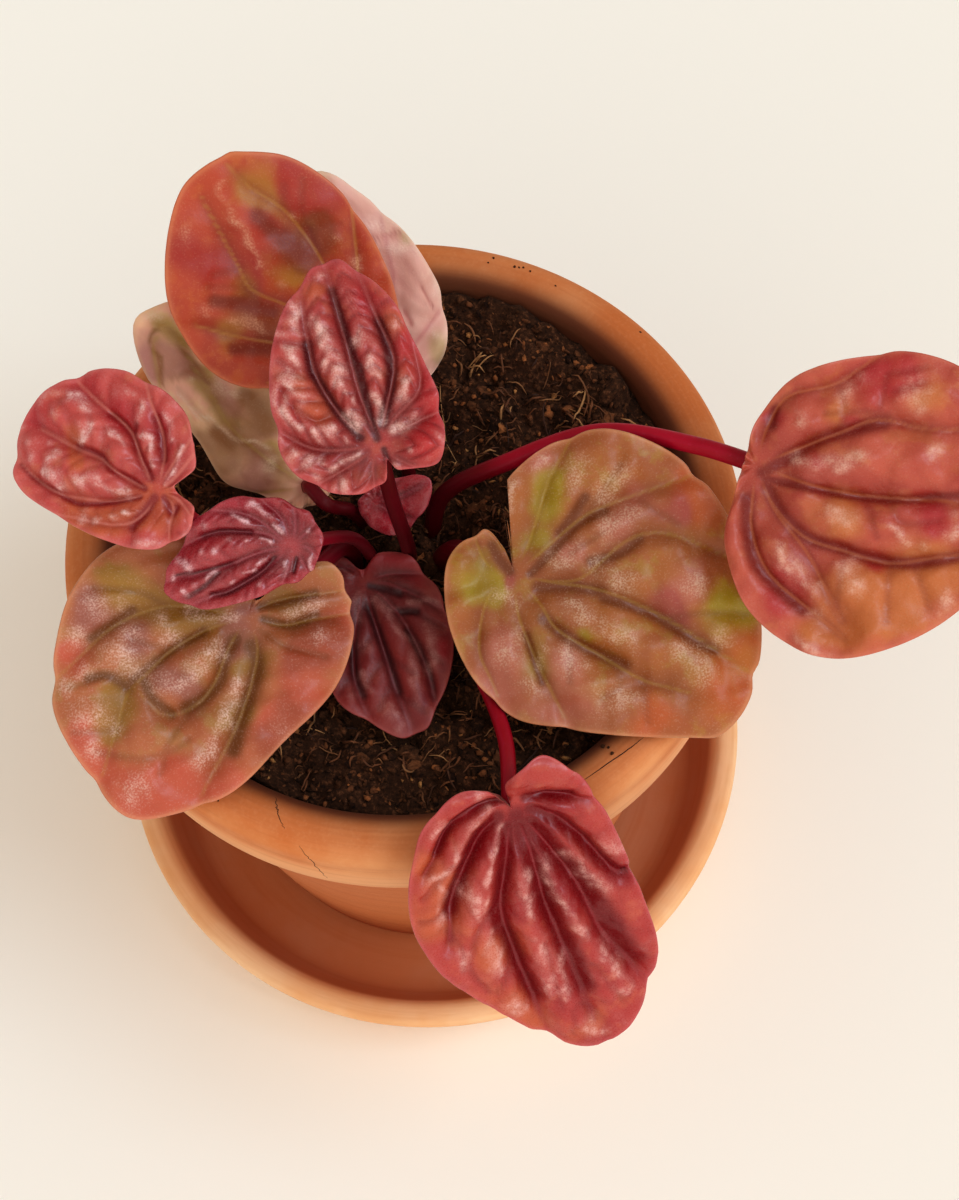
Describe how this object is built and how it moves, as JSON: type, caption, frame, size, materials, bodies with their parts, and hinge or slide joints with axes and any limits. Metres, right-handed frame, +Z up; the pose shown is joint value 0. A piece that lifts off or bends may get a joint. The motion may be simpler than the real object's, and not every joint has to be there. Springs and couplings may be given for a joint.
{
  "type": "potted plant",
  "caption": "Potted Quito peperomia with rippled heart-shaped coral leaves on red stalks, in a terracotta pot standing in a matching saucer.",
  "frame": {"origin": "middle of the saucer's flat underside, where it stands", "axes": "+Z up along the axis of the pot and saucer; -Y is the front, the side where one leaf hangs over the pot's rim; +X is the side where one leaf reaches far out"},
  "size_m": [0.1638, 0.1491, 0.1764],
  "materials": {
    "saucer_clay": "matte",
    "pot_clay": "matte",
    "soil": "matte",
    "stalk": "satin",
    "blade_back_orange": "satin",
    "blade_back_pale": "satin",
    "blade_left_pale": "satin",
    "blade_top_ripple": "satin",
    "blade_left_rose": "satin",
    "blade_mid_crimson": "satin",
    "blade_left_olive": "satin",
    "blade_front_maroon": "satin",
    "blade_small_crimson": "satin",
    "blade_right_olive": "satin",
    "blade_far_coral": "satin",
    "blade_front_coral": "satin"
  },
  "bodies": {
    "root": {"saucer": "saucer_clay", "pot": "pot_clay", "soil": "soil", "leaf_back_orange": "blade_back_orange", "stalk_back_orange": "stalk", "leaf_back_pale": "blade_back_pale", "stalk_back_pale": "stalk", "leaf_left_pale": "blade_left_pale", "stalk_left_pale": "stalk", "leaf_top_ripple": "blade_top_ripple", "stalk_top_ripple": "stalk", "leaf_left_rose": "blade_left_rose", "stalk_left_rose": "stalk", "leaf_mid_crimson": "blade_mid_crimson", "stalk_mid_crimson": "stalk", "leaf_left_olive": "blade_left_olive", "stalk_left_olive": "stalk", "leaf_front_maroon": "blade_front_maroon", "stalk_front_maroon": "stalk", "leaf_small_crimson": "blade_small_crimson", "stalk_small_crimson": "stalk", "leaf_right_olive": "blade_right_olive", "stalk_right_olive": "stalk", "leaf_far_coral": "blade_far_coral", "stalk_far_coral": "stalk", "leaf_front_coral": "blade_front_coral", "stalk_front_coral": "stalk"}
  },
  "joints": []
}
